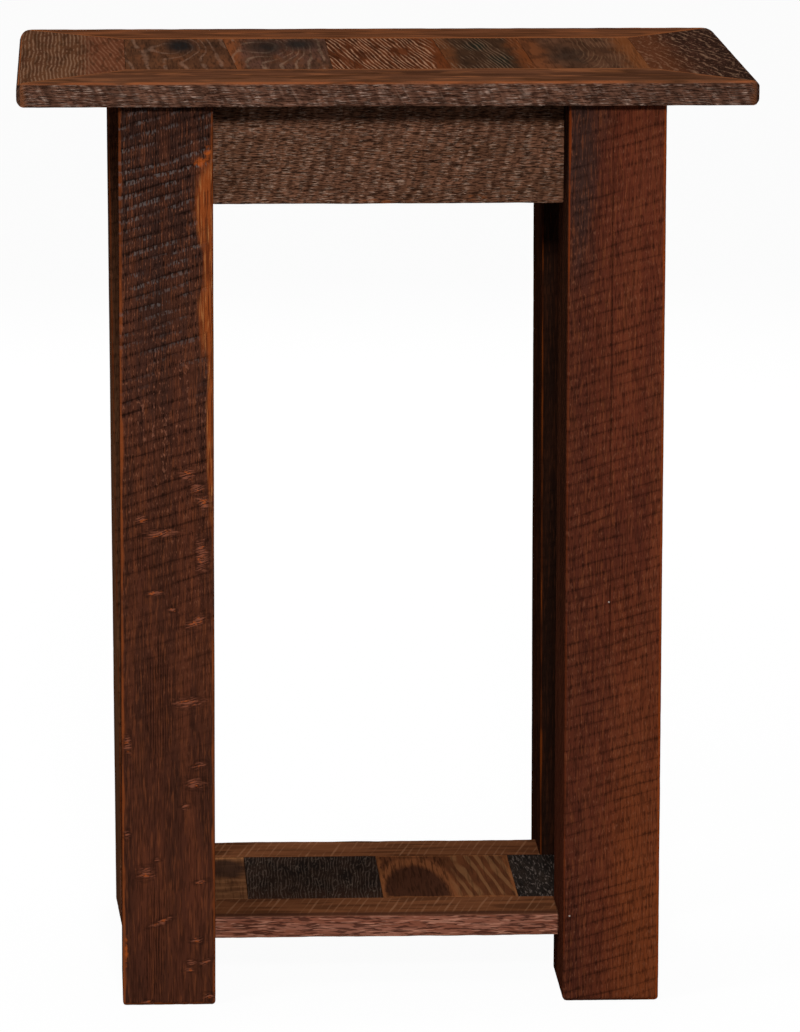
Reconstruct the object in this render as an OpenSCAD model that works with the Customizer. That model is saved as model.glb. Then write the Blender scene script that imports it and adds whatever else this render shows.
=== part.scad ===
// Nightstand with four sawn timber legs, tenoned aprons, and a top and a low shelf that are
// each a solid frame round a field of wood blocks glued to a plywood core.
// Millimetres, +Z up, the front faces -Y, the origin is on the floor under the middle of the top.

/* [Overall] */
// Width of the top
top_w = 594; // [540:1:760]
// Depth of the top
top_d = 396; // [350:1:520]
// Height from the floor to the top face
height = 762; // [450:1:950]

/* [Top] */
// Thickness of the top
top_t = 19.5; // [16:0.5:40]
// Width of the front band of the frame
top_front_band_w = 95; // [60:1:110]
// Width of the rear band of the frame
top_rear_band_w = 78; // [60:1:110]
// Width of the left band of the frame
top_left_band_w = 88; // [50:1:100]
// Width of the right band of the frame
top_right_band_w = 80; // [50:1:90]
// Width of the first field block from the left
top_block_1_w = 86.5; // [60:0.5:120]
// Width of the second field block
top_block_2_w = 82; // [60:1:110]
// Width of the third field block
top_block_3_w = 94; // [60:1:110]
// Width of the fourth field block, the fifth takes what is left
top_block_4_w = 70; // [50:1:85]
// How far the front end of the first joint between blocks stands right of its middle
joint_1_skew = 3.5; // [-6:0.5:6]
// How far the front end of the second joint stands right of its middle
joint_2_skew = -1; // [-6:0.5:6]
// How far the front end of the third joint stands right of its middle
joint_3_skew = 2; // [-6:0.5:6]
// How far the front end of the fourth joint stands right of its middle
joint_4_skew = 1; // [-6:0.5:6]
// Radius of the four corners seen from above
corner_r = 10; // [3:0.5:20]
// Radius of the arrises at the two ends
end_arris_r = 5.5; // [1:0.5:8]
// Radius of the arrises along the front and rear
long_arris_r = 2.5; // [0.5:0.5:6]

/* [Legs] */
// Depth of every leg, front to back
leg_d = 105; // [70:1:110]
// Width of the front left leg
front_left_leg_w = 76; // [66:1:84]
// Width of the front right leg
front_right_leg_w = 79; // [66:1:95]
// Width of the rear left leg
rear_left_leg_w = 84; // [76:1:95]
// Width of the rear right leg
rear_right_leg_w = 79; // [72:1:95]
// Overhang of the top past the rear legs at each side
side_overhang = 73; // [10:1:85]
// Overhang of the top past the front legs
front_overhang = 20; // [5:1:40]
// Overhang of the top past the rear legs
rear_overhang = 20; // [5:1:40]
// Radius of the upright arrises
leg_arris_r = 2.5; // [0.5:0.5:6]
// Radius round the foot
foot_r = 5; // [1:0.5:10]

/* [Aprons] */
// Height of the aprons
apron_h = 87.5; // [60:0.5:140]
// Thickness of the aprons
apron_t = 22; // [18:0.5:28]
// Distance from the legs' outer faces back to the front and rear aprons
apron_setback = 48.5; // [20:0.5:52]
// Distance from the legs' inner faces out to the side aprons
side_apron_inset = 28; // [27:0.5:34]
// Radius of the lower arrises
apron_arris_r = 2; // [0.5:0.5:4]
// Length of each tenon
tenon_l = 25; // [15:0.5:26]
// Thickness of each tenon
tenon_t = 9.5; // [6:0.5:12]
// Shoulder above and below each tenon
tenon_shoulder = 9; // [5:0.5:15]

/* [Shelf] */
// Thickness of the shelf
shelf_t = 19.5; // [16:0.5:30]
// Height of the shelf's upper face
shelf_z = 63.5; // [45:0.5:200]
// Distance from the legs' outer faces back to the shelf's front and rear edges
shelf_setback = 48.5; // [20:0.5:60]
// Distance from the rear legs' outer faces in to the shelf's two ends
shelf_end_setback = 6; // [0:0.5:8]
// Width of each of the two middle blocks
shelf_block_w = 113; // [80:1:140]
// Width of the edging strip at each end
shelf_edging_w = 14; // [12:0.5:25]
// Radius of the front and rear arrises
shelf_arris_r = 1.5; // [0.5:0.5:4]

/* [Core panels] */
// Thickness of the field blocks
block_t = 8; // [4:0.5:9]
// Thickness of the tongue round a core
tongue_t = 5; // [3:0.5:6]
// Length of the tongue
tongue_l = 8; // [4:0.5:10]
// Distance from a core's lower face to its tongue
tongue_z = 2.5; // [1:0.5:3]
// Length of the loose spline in each mitre
spline_l = 50; // [20:1:60]
// Width of the spline, half in each band
spline_w = 24; // [12:1:30]
// Thickness of the spline
spline_t = 4; // [2:0.5:5]
// Distance from the outer corner to the spline
spline_inset = 24; // [18:1:30]

/* [Cleats] */
// Width of the cleats that hold the top
cleat_w = 24; // [18:0.5:28]
// Height of the cleats
cleat_h = 20; // [15:0.5:30]
// Space between each end of a cleat and the leg
cleat_end_gap = 6; // [2:0.5:15]
// Distance from the end of a cleat to its first screw
cleat_screw_inset = 18; // [12:1:25]
// Distance of the apron screws from the middle of their cleat
cleat_side_screw_x = 22; // [12:1:30]

/* [Fasteners] */
// Diameter of the screws
screw_d = 4; // [3:0.1:5]
// Diameter of the countersunk heads
screw_head_d = 8; // [6.5:0.1:9]
// Height of the countersunk heads
screw_head_h = 2.6; // [2:0.1:3.5]
// Length of screw that goes up into the core
top_bite = 8.5; // [6:0.5:9]
// Length of screw that goes into an apron
apron_bite = 14; // [8:0.5:17]
// Diameter of the dowels between the shelf bands and the legs
band_dowel_d = 8; // [6:0.5:10]
// Length of those dowels
band_dowel_l = 40; // [24:1:44]
// Distance between the two dowels of one joint
band_dowel_pitch = 28; // [18:1:32]
// Diameter of the dowels between the shelf core and the legs
core_dowel_d = 6; // [4:0.5:7]
// Length of those dowels
core_dowel_l = 30; // [20:1:40]
// Distance from the legs' inner faces to the first of these dowels
core_dowel_inset = 28; // [28:0.5:32]
// Distance between the two dowels of one joint
core_dowel_pitch = 24; // [12:1:26]

/* [Fits] */
// Clearance round tenons, tongues, splines and dowels
fit_gap = 0.15; // [0.05:0.05:0.3]
// Extra depth at the end of a mortise, a groove or a hole
end_gap = 1; // [0.5:0.1:1.5]

/* [Hidden] */
$fn = 48;
over = 1;                                    // how far a cut runs past the face that it opens
recess_w = 0.9;                              // arm of the cross recess in a screw head
recess_l = 4.2;
recess_depth = 1.4;
screw_tip_l = 4;
screw_tip_d = 0.8;

top_z = height - top_t;                      // lower face of the top
top_x0 = -top_w / 2;
top_x1 = top_w / 2;
top_y0 = -top_d / 2;
top_y1 = top_d / 2;
field_x0 = top_x0 + top_left_band_w;
field_x1 = top_x1 - top_right_band_w;
field_y0 = top_y0 + top_front_band_w;
field_y1 = top_y1 - top_rear_band_w;
joint_1_x = field_x0 + top_block_1_w;        // middles of the joints between the blocks of the top
joint_2_x = joint_1_x + top_block_2_w;
joint_3_x = joint_2_x + top_block_3_w;
joint_4_x = joint_3_x + top_block_4_w;

frame_x0 = top_x0 + side_overhang;           // outer faces of the rear legs
frame_x1 = top_x1 - side_overhang;
inner_x0 = frame_x0 + rear_left_leg_w;       // inner faces of the legs
inner_x1 = frame_x1 - rear_right_leg_w;
front_y0 = top_y0 + front_overhang;          // front legs, front and rear face
front_y1 = front_y0 + leg_d;
rear_y1 = top_y1 - rear_overhang;            // rear legs, front and rear face
rear_y0 = rear_y1 - leg_d;
middle_x = (inner_x0 + inner_x1) / 2;
middle_y = (front_y1 + rear_y0) / 2;

apron_z = top_z - apron_h;
front_apron_y = front_y0 + apron_setback;    // outer face of the front apron
rear_apron_y = rear_y1 - apron_setback;      // outer face of the rear apron
left_apron_x = inner_x0 - side_apron_inset;  // inner faces of the side aprons
right_apron_x = inner_x1 + side_apron_inset;
tenon_side = (apron_t - tenon_t) / 2;        // cheek on each side of a tenon
tenon_z0 = apron_z + tenon_shoulder;
tenon_z1 = top_z - tenon_shoulder;

shelf_z0 = shelf_z - shelf_t;                // lower face of the shelf
shelf_y0 = front_y0 + shelf_setback;
shelf_y1 = rear_y1 - shelf_setback;
shelf_x0 = frame_x0 + shelf_end_setback;
shelf_x1 = frame_x1 - shelf_end_setback;
shelf_field_x0 = shelf_x0 + shelf_edging_w;
shelf_field_x1 = shelf_x1 - shelf_edging_w;

long_cleat_l = inner_x1 - inner_x0 - 2 * cleat_end_gap;
short_cleat_l = rear_y0 - front_y1 - 2 * cleat_end_gap;
long_cleat_screws = 3;                       // screws that go up through one cleat
short_cleat_screws = 2;

// Plain shapes

module rounded_rect(size, r) {
    translate([r, 0]) square([size.x - 2 * r, size.y]);
    translate([0, r]) square([size.x, size.y - 2 * r]);
    for (x = [r, size.x - r], y = [r, size.y - r]) translate([x, y]) circle(r = r);
}

// A block whose arrises are eased by one radius for each direction in which they run
module eased_block(size, along_x, along_y, along_z) {
    intersection() {
        linear_extrude(size.z) rounded_rect([size.x, size.y], along_z);
        translate([0, size.y, 0]) rotate([90, 0, 0]) linear_extrude(size.y)
            rounded_rect([size.x, size.z], along_y);
        rotate([90, 0, 90]) linear_extrude(size.x) rounded_rect([size.y, size.z], along_x);
    }
}

// A box between two corners, grown by a gap on every side
module span(low, high, gap = 0) {
    translate(low - [gap, gap, gap]) cube(high - low + 2 * [gap, gap, gap]);
}

// Top

module top_slab() {
    translate([top_x0, top_y0, top_z])
        eased_block([top_w, top_d, top_t], long_arris_r, end_arris_r, corner_r);
}

module top_core_tongue(gap) {
    reach = tongue_l + (gap > 0 ? end_gap : 0);
    span([field_x0 - reach, field_y0 - reach, top_z + tongue_z - gap],
         [field_x1 + reach, field_y1 + reach, top_z + tongue_z + tongue_t + gap]);
}

// Loose splines across the four mitres, each centred on the line of its mitre
module mitre_splines(gap) {
    for (corner = [[top_x0, top_y0, field_x0, field_y0], [top_x1, top_y0, field_x1, field_y0],
                   [top_x0, top_y1, field_x0, field_y1], [top_x1, top_y1, field_x1, field_y1]]) {
        turn = atan2(corner[3] - corner[1], corner[2] - corner[0]);
        translate([corner[0], corner[1], top_z + tongue_z + tongue_t + end_gap]) rotate(turn)
            span([spline_inset, -spline_w / 2, 0],
                 [spline_inset + spline_l, spline_w / 2, spline_t], gap);
    }
}

module mitred_band(outline) {
    difference() {
        intersection() {
            top_slab();
            translate([0, 0, top_z]) linear_extrude(top_t) polygon(outline);
        }
        top_core_tongue(fit_gap);
        mitre_splines(fit_gap);
    }
}

module top_front_band() {
    color("#5f4031") mitred_band([[top_x0, top_y0], [top_x1, top_y0],
                                  [field_x1, field_y0], [field_x0, field_y0]]);
}

module top_rear_band() {
    color("#5f4031") mitred_band([[top_x1, top_y1], [top_x0, top_y1],
                                  [field_x0, field_y1], [field_x1, field_y1]]);
}

module top_left_band() {
    color("#5a3d2a") mitred_band([[top_x0, top_y1], [top_x0, top_y0],
                                  [field_x0, field_y0], [field_x0, field_y1]]);
}

module top_right_band() {
    color("#43291f") mitred_band([[top_x1, top_y0], [top_x1, top_y1],
                                  [field_x1, field_y1], [field_x1, field_y0]]);
}

module top_mitre_splines() {
    color("#8a6a48") mitre_splines(0);
}

module top_core_panel() {
    color("#a98a63") difference() {
        union() {
            span([field_x0, field_y0, top_z], [field_x1, field_y1, height - block_t]);
            top_core_tongue(0);
        }
        fixing_screws(fit_gap);
    }
}

// A block between two joints, each given by its middle and by the skew of its front end
module top_field_block(x0, skew0, x1, skew1) {
    translate([0, 0, height - block_t]) linear_extrude(block_t)
        polygon([[x0 + skew0, field_y0], [x1 + skew1, field_y0],
                 [x1 - skew1, field_y1], [x0 - skew0, field_y1]]);
}

module top_field_block_1() {
    color("#4b3324") top_field_block(field_x0, 0, joint_1_x, joint_1_skew);
}

module top_field_block_2() {
    color("#43301f") top_field_block(joint_1_x, joint_1_skew, joint_2_x, joint_2_skew);
}

module top_field_block_3() {
    color("#5a3020") top_field_block(joint_2_x, joint_2_skew, joint_3_x, joint_3_skew);
}

module top_field_block_4() {
    color("#46301f") top_field_block(joint_3_x, joint_3_skew, joint_4_x, joint_4_skew);
}

module top_field_block_5() {
    color("#4d3626") top_field_block(joint_4_x, joint_4_skew, field_x1, 0);
}

// Legs

// Both tenons of a front or rear apron that starts at y, as one bar through it
module long_tenons(y, gap) {
    reach = tenon_l + (gap > 0 ? end_gap : 0);
    span([inner_x0 - reach, y + tenon_side - gap, tenon_z0 - gap],
         [inner_x1 + reach, y + tenon_side + tenon_t + gap, tenon_z1 + gap]);
}

// Both tenons of a side apron that starts at x, as one bar through it
module side_tenons(x, gap) {
    reach = tenon_l + (gap > 0 ? end_gap : 0);
    span([x + tenon_side - gap, front_y1 - reach, tenon_z0 - gap],
         [x + tenon_side + tenon_t + gap, rear_y0 + reach, tenon_z1 + gap]);
}

// Every tenon of the four aprons, to cut the mortises in the legs
module apron_tenons(gap) {
    for (y = [front_apron_y, rear_apron_y - apron_t]) long_tenons(y, gap);
    for (x = [left_apron_x - apron_t, right_apron_x]) side_tenons(x, gap);
}

module leg(x, y, w) {
    difference() {
        intersection() {
            translate([x, y, 0]) eased_block([w, leg_d, top_z + foot_r], foot_r, foot_r, leg_arris_r);
            span([x, y, 0], [x + w, y + leg_d, top_z]);
        }
        apron_tenons(fit_gap);
        band_dowels(fit_gap);
        core_dowels(fit_gap);
    }
}

module front_left_leg() {
    color("#4a2a1f") leg(inner_x0 - front_left_leg_w, front_y0, front_left_leg_w);
}

module front_right_leg() {
    color("#47281e") leg(inner_x1, front_y0, front_right_leg_w);
}

module rear_left_leg() {
    color("#3f241b") leg(frame_x0, rear_y0, rear_left_leg_w);
}

module rear_right_leg() {
    color("#3f241b") leg(inner_x1, rear_y0, rear_right_leg_w);
}

// Aprons

// A rail with eased lower arrises, between two corners of its plan
module rail(x0, y0, x1, y1) {
    ease = apron_arris_r;
    intersection() {
        translate([x0, y0, apron_z])
            eased_block([x1 - x0, y1 - y0, apron_h + ease], x1 - x0 > y1 - y0 ? ease : ease / 2,
                        x1 - x0 > y1 - y0 ? ease / 2 : ease, ease / 4);
        span([x0, y0, apron_z], [x1, y1, top_z]);
    }
}

module long_apron(y) {
    difference() {
        union() {
            rail(inner_x0, y, inner_x1, y + apron_t);
            long_tenons(y, 0);
        }
        apron_screws(fit_gap);
    }
}

module side_apron(x) {
    difference() {
        union() {
            rail(x, front_y1, x + apron_t, rear_y0);
            side_tenons(x, 0);
        }
        apron_screws(fit_gap);
    }
}

module front_apron() {
    color("#543b2c") long_apron(front_apron_y);
}

module rear_apron() {
    color("#4f3729") long_apron(rear_apron_y - apron_t);
}

module left_apron() {
    color("#4f3729") side_apron(left_apron_x - apron_t);
}

module right_apron() {
    color("#4f3729") side_apron(right_apron_x);
}

// Cleats and their screws

// Screw with its head face at the origin, pointing up; a gap makes the hole that it needs
module wood_screw(l, gap = 0) {
    difference() {
        union() {
            cylinder(h = screw_head_h, d1 = screw_head_d + 2 * gap, d2 = screw_d + 2 * gap);
            cylinder(h = l - screw_tip_l, d = screw_d + 2 * gap);
            translate([0, 0, l - screw_tip_l])
                cylinder(h = screw_tip_l + gap, d1 = screw_d + 2 * gap, d2 = screw_tip_d + 2 * gap);
        }
        if (gap == 0) for (turn = [0, 90]) rotate(turn)
            translate([-recess_l / 2, -recess_w / 2, -over]) cube([recess_l, recess_w, recess_depth + over]);
    }
    if (gap > 0) translate([0, 0, -over]) cylinder(h = over, d = screw_head_d + 2 * gap);
}

// Places where the middle of each cleat meets its apron, with +Y pointing away from it
module at_front_apron() {
    translate([middle_x, front_apron_y + apron_t, top_z]) children();
}

module at_rear_apron() {
    translate([middle_x, rear_apron_y - apron_t, top_z]) rotate(180) children();
}

module at_left_apron() {
    translate([left_apron_x, middle_y, top_z]) rotate(-90) children();
}

module at_right_apron() {
    translate([right_apron_x, middle_y, top_z]) rotate(90) children();
}

// Screws that go up through one cleat into the core of the top
module upward_row(cleat_l, count, gap) {
    reach = cleat_l / 2 - cleat_screw_inset;
    for (i = [0 : count - 1])
        translate([-reach + 2 * reach * i / (count - 1), cleat_w / 2, -cleat_h])
            wood_screw(cleat_h + top_bite, gap);
}

// Screws that go sideways through one cleat into its apron
module sideways_row(gap) {
    for (x = [-cleat_side_screw_x, cleat_side_screw_x])
        translate([x, cleat_w, -cleat_h / 2]) rotate([90, 0, 0])
            wood_screw(cleat_w + apron_bite, gap);
}

module fixing_screws(gap) {
    at_front_apron() upward_row(long_cleat_l, long_cleat_screws, gap);
    at_rear_apron() upward_row(long_cleat_l, long_cleat_screws, gap);
    at_left_apron() upward_row(short_cleat_l, short_cleat_screws, gap);
    at_right_apron() upward_row(short_cleat_l, short_cleat_screws, gap);
}

module apron_screws(gap) {
    at_front_apron() sideways_row(gap);
    at_rear_apron() sideways_row(gap);
    at_left_apron() sideways_row(gap);
    at_right_apron() sideways_row(gap);
}

module cleat(l, screws) {
    color("#7a5a3c") difference() {
        translate([-l / 2, 0, -cleat_h]) cube([l, cleat_w, cleat_h]);
        upward_row(l, screws, fit_gap);
        sideways_row(fit_gap);
    }
}

module front_cleat() {
    at_front_apron() cleat(long_cleat_l, long_cleat_screws);
}

module rear_cleat() {
    at_rear_apron() cleat(long_cleat_l, long_cleat_screws);
}

module left_cleat() {
    at_left_apron() cleat(short_cleat_l, short_cleat_screws);
}

module right_cleat() {
    at_right_apron() cleat(short_cleat_l, short_cleat_screws);
}

module top_fixing_screws() {
    color("#8d8f92") fixing_screws(0);
}

module cleat_screws() {
    color("#8d8f92") apron_screws(0);
}

// Shelf

module dowel(d, l, gap) {
    reach = l / 2 + (gap > 0 ? end_gap : 0);
    translate([0, 0, -reach]) cylinder(h = 2 * reach, d = d + 2 * gap);
}

// Two dowels in each end of both shelf bands
module band_dowels(gap) {
    for (x = [inner_x0, inner_x1], y = [(shelf_y0 + front_y1) / 2, (shelf_y1 + rear_y0) / 2],
         side = [-1, 1])
        translate([x, y + side * band_dowel_pitch / 2, shelf_z0 + shelf_t / 2]) rotate([0, 90, 0])
            dowel(band_dowel_d, band_dowel_l, gap);
}

// Two dowels between the shelf core and each leg
module core_dowels(gap) {
    core_z = shelf_z0 + (shelf_t - block_t) / 2;
    for (in = [core_dowel_inset, core_dowel_inset + core_dowel_pitch], y = [front_y1, rear_y0],
         x = [inner_x0 - in, inner_x1 + in])
        translate([x, y, core_z]) rotate([90, 0, 0]) dowel(core_dowel_d, core_dowel_l, gap);
}

// Tongues of the shelf core, into both bands between the legs and into both edging strips
module shelf_core_tongue(gap) {
    extra = gap > 0 ? end_gap : 0;
    low = shelf_z0 + tongue_z - gap;
    high = shelf_z0 + tongue_z + tongue_t + gap;
    span([inner_x0, front_y1 - tongue_l - extra, low], [inner_x1, rear_y0 + tongue_l + extra, high]);
    span([shelf_field_x0 - tongue_l - extra, front_y1, low],
         [shelf_field_x1 + tongue_l + extra, rear_y0, high]);
}

module shelf_band(y0, y1, edge) {
    ease = shelf_arris_r;
    w = inner_x1 - inner_x0;
    difference() {
        intersection() {
            translate([inner_x0, edge < 0 ? y0 : y0 - 2 * ease, shelf_z0])
                eased_block([w, y1 - y0 + 2 * ease, shelf_t], ease, ease / 4, ease / 4);
            span([inner_x0, y0, shelf_z0], [inner_x1, y1, shelf_z]);
        }
        shelf_core_tongue(fit_gap);
        band_dowels(fit_gap);
    }
}

module shelf_front_band() {
    color("#6d4435") shelf_band(shelf_y0, front_y1, -1);
}

module shelf_rear_band() {
    color("#6a4233") shelf_band(rear_y0, shelf_y1, 1);
}

module shelf_edging(x0, x1, edge) {
    ease = shelf_arris_r;
    l = rear_y0 - front_y1;
    difference() {
        intersection() {
            translate([edge < 0 ? x0 : x0 - 2 * ease, front_y1, shelf_z0])
                eased_block([x1 - x0 + 2 * ease, l, shelf_t], ease / 4, ease, ease / 4);
            span([x0, front_y1, shelf_z0], [x1, rear_y0, shelf_z]);
        }
        shelf_core_tongue(fit_gap);
    }
}

module shelf_left_edging() {
    color("#5a3d2c") shelf_edging(shelf_x0, shelf_field_x0, -1);
}

module shelf_right_edging() {
    color("#5a3d2c") shelf_edging(shelf_field_x1, shelf_x1, 1);
}

module shelf_core_panel() {
    color("#a98a63") difference() {
        union() {
            span([shelf_field_x0, front_y1, shelf_z0],
                 [shelf_field_x1, rear_y0, shelf_z - block_t]);
            shelf_core_tongue(0);
        }
        core_dowels(fit_gap);
    }
}

module shelf_field_block(x0, x1) {
    span([x0, front_y1, shelf_z - block_t], [x1, rear_y0, shelf_z]);
}

module shelf_field_block_1() {
    color("#4f3525") shelf_field_block(shelf_field_x0, middle_x - shelf_block_w);
}

module shelf_field_block_2() {
    color("#2a201b") shelf_field_block(middle_x - shelf_block_w, middle_x);
}

module shelf_field_block_3() {
    color("#5b3b27") shelf_field_block(middle_x, middle_x + shelf_block_w);
}

module shelf_field_block_4() {
    color("#231d1a") shelf_field_block(middle_x + shelf_block_w, shelf_field_x1);
}

module shelf_band_dowels() {
    color("#c9a77a") band_dowels(0);
}

module shelf_core_dowels() {
    color("#c9a77a") core_dowels(0);
}

top_front_band();
top_rear_band();
top_left_band();
top_right_band();
top_mitre_splines();
top_core_panel();
top_field_block_1();
top_field_block_2();
top_field_block_3();
top_field_block_4();
top_field_block_5();
front_left_leg();
front_right_leg();
rear_left_leg();
rear_right_leg();
front_apron();
rear_apron();
left_apron();
right_apron();
front_cleat();
rear_cleat();
left_cleat();
right_cleat();
top_fixing_screws();
cleat_screws();
shelf_front_band();
shelf_rear_band();
shelf_left_edging();
shelf_right_edging();
shelf_core_panel();
shelf_field_block_1();
shelf_field_block_2();
shelf_field_block_3();
shelf_field_block_4();
shelf_band_dowels();
shelf_core_dowels();
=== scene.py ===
import math
from functools import partial
import bpy
import numpy as np
from mathutils import Matrix, Vector


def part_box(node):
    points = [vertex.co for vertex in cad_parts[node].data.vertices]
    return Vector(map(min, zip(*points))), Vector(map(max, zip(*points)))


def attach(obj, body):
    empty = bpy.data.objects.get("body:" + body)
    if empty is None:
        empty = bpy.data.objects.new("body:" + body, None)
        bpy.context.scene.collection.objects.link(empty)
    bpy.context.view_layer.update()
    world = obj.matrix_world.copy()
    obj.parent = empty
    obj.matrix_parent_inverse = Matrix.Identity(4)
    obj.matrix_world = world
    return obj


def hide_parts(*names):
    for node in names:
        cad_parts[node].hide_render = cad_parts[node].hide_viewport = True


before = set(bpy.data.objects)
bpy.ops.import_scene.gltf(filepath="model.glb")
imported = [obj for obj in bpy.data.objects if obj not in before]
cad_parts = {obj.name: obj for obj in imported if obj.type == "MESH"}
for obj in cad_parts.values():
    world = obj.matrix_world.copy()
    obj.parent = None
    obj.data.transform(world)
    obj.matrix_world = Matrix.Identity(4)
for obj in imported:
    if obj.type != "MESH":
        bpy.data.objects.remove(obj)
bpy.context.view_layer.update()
scene = bpy.context.scene
scene.view_settings.view_transform = "Standard"
mm = 0.001
print("frame loaded,", len(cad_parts), "nodes")


def toLinear(hexColour):
    channels = [int(hexColour[i:i + 2], 16) / 255 for i in (1, 3, 5)]
    return [c / 12.92 if c <= 0.04045 else ((c + 0.055) / 1.055) ** 2.4 for c in channels] + [1.0]


# Adds one node: settings by name, inputs by name or place as a value or a link; gives one output back.
# A kind without "Node" in it is a shader node's. MapRange takes a value, then from and to as two spans
def addNode(tree, kind, inputs=(), out=0, **settings):
    node = tree.nodes.new(kind if "Node" in kind else "ShaderNode" + kind)
    for name, value in settings.items():
        setattr(node, name, value)
    for key, value in (inputs.items() if isinstance(inputs, dict) else enumerate(inputs)):
        if isinstance(value, bpy.types.NodeSocket):
            tree.links.new(value, node.inputs[key])
        elif value is not None:
            node.inputs[key].default_value = value
    return node.outputs[out] if node.outputs else node


def emptyMaterial(name):
    material = bpy.data.materials.new(name)
    material.use_nodes = True
    material.node_tree.nodes.clear()
    return material, material.node_tree


smoothly = {"interpolation_type": "SMOOTHSTEP"}

# Camera, placed so that the outline falls where it does in the photograph
camera = {
    "place": (-244.4, -5247.4, 1357.2),   # mm
    "yaw": 2.876,                         # degrees, towards +X
    "pitch": 10.602,                      # degrees, down
    "roll": 0.147,
    "focalPixels": 6380.5,                # focal length in pixels of an image 1032 high
    "imageHeight": 1032,
    "sensor": 36,                         # mm
    "clip": (0.1, 100),                   # m
}


def makeCamera(values):
    yaw, pitch, roll = (math.radians(values[k]) for k in ("yaw", "pitch", "roll"))
    ahead = np.array([math.sin(yaw) * math.cos(pitch), math.cos(yaw) * math.cos(pitch), -math.sin(pitch)])
    level = np.array([math.cos(yaw), -math.sin(yaw), 0])
    above = np.cross(level, ahead)
    right = math.cos(roll) * level + math.sin(roll) * above
    up = math.cos(roll) * above - math.sin(roll) * level
    data = bpy.data.cameras.new("camera")
    data.sensor_width = values["sensor"]
    data.lens = values["focalPixels"] * data.sensor_width / values["imageHeight"]
    data.clip_start, data.clip_end = values["clip"]
    eye = bpy.data.objects.new("camera", data)
    eye.matrix_world = Matrix([[right[i], up[i], -ahead[i], values["place"][i] * mm] for i in range(3)]
                              + [[0, 0, 0, 1]])
    scene.collection.objects.link(eye)
    scene.camera = eye


makeCamera(camera)
print("camera made")

# Studio: a pale floor that keeps a soft shadow, a low frontal softbox, and one from the side, one
# overhead and one from behind
studio = {
    "floorSize": 24.0,                    # m
    "floorSeen": "#fefefe",
    "floorTone": "#989898",               # what the floor gives back to the wood
    "floorGlow": 0.96,                    # share of plain white that the camera sees in the floor
    "fill": 0.18,                         # strength of the surroundings' light
}
lamps = {      # height aimed at in mm, azimuth and elevation in degrees, distance and size in m, power in W
    "key": (350, -1.2, 22.5, 3.4, 0.26, 78),
    "side": (350, -50, 45, 3.2, 0.8, 34),
    "top": (762, 172, 80, 2.2, 1.2, 18),
    "back": (350, 180, 24, 3.4, 1.4, 50),
}


def makeWorld(values):
    world = bpy.data.worlds.new("surroundings")
    world.use_nodes = True
    tree = world.node_tree
    tree.nodes.clear()
    add = partial(addNode, tree)
    seen = add("LightPath", out="Is Camera Ray")
    for ray in ("Is Glossy Ray", "Is Transmission Ray"):
        seen = add("Math", [seen, add("LightPath", out=ray)], operation="MAXIMUM")
    level = add("MapRange", [seen, 0.0, 1.0, values["fill"], 1.0])
    add("OutputWorld", [add("Background", [(1, 1, 1, 1), level])])
    scene.world = world


def makeFloor(values):
    half = values["floorSize"] / 2
    mesh = bpy.data.meshes.new("floor")
    mesh.from_pydata([(-half, -half, 0), (half, -half, 0), (half, half, 0), (-half, half, 0)], [],
                     [(0, 1, 2, 3)])
    floor = bpy.data.objects.new("floor", mesh)
    scene.collection.objects.link(floor)
    paper, tree = emptyMaterial("matteStudioPaper")       # even and pale, with no gloss
    add = partial(addNode, tree)
    isCamera = add("LightPath", out="Is Camera Ray")
    tone = add("Mix", {0: isCamera, 6: toLinear(values["floorTone"]), 7: toLinear(values["floorSeen"])}, 2,
               data_type="RGBA")
    matte = add("BsdfDiffuse", [tone])
    glow = add("Emission", [(1, 1, 1, 1), 1.0])
    share = add("Math", [isCamera, values["floorGlow"]], operation="MULTIPLY")
    add("OutputMaterial", [add("MixShader", [share, matte, glow])])
    mesh.materials.append(paper)


def makeLamp(name, aim, azimuth, elevation, distance, size, power):
    around, above = math.radians(azimuth), math.radians(elevation)
    level = math.cos(above)
    back = np.array([math.sin(around) * level, -math.cos(around) * level, math.sin(above)])
    data = bpy.data.lights.new(name, "AREA")
    data.size, data.energy = size, power
    lamp = bpy.data.objects.new(name, data)
    lamp.location = np.array((0, 0, aim)) * mm + back * distance
    lamp.rotation_euler = Vector(-back).to_track_quat("-Z", "Y").to_euler()
    scene.collection.objects.link(lamp)


makeWorld(studio)
makeFloor(studio)
for name, values in lamps.items():
    makeLamp(name, *values)
print("studio made")


# Places in mm
def boxOf(*nodes):
    corners = [np.array(c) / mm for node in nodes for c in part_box(node)]
    return np.min(corners, 0), np.max(corners, 0)


bands = ["top_front_band", "top_rear_band", "top_left_band", "top_right_band"]
topBlocks = ["top_field_block_%d" % i for i in (1, 2, 3, 4, 5)]
shelfBlocks = ["shelf_field_block_%d" % i for i in (1, 2, 3, 4)]
slabLow, slabHigh = boxOf(*bands)
fieldLow, fieldHigh = boxOf(*topBlocks)
shelfHigh = boxOf("shelf_front_band", "shelf_rear_band", *shelfBlocks)[1]
innerLeft = boxOf("front_left_leg")[1][0]
innerRight = boxOf("front_right_leg")[0][0]

# Boards are closed grids, fine near their arrises, so that saw marks and wear are real relief
grid = {
    "edgeSteps": (0.4, 1.1, 2.0, 3.2, 4.6, 6.4, 8.6),      # mm from each arris to the first rows
    "edgeShare": 0.32,      # of a thin board's width, for these rows at each side
    "sharpAngle": 42,       # degrees
    "ease": 0.35,           # mm, radius of the arrises before slanting ends are cut
    "sideFade": 3.0,        # mm below the top over which a board's side begins
    "far": 99.0,            # mm, where a board has no such arris
}


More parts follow.
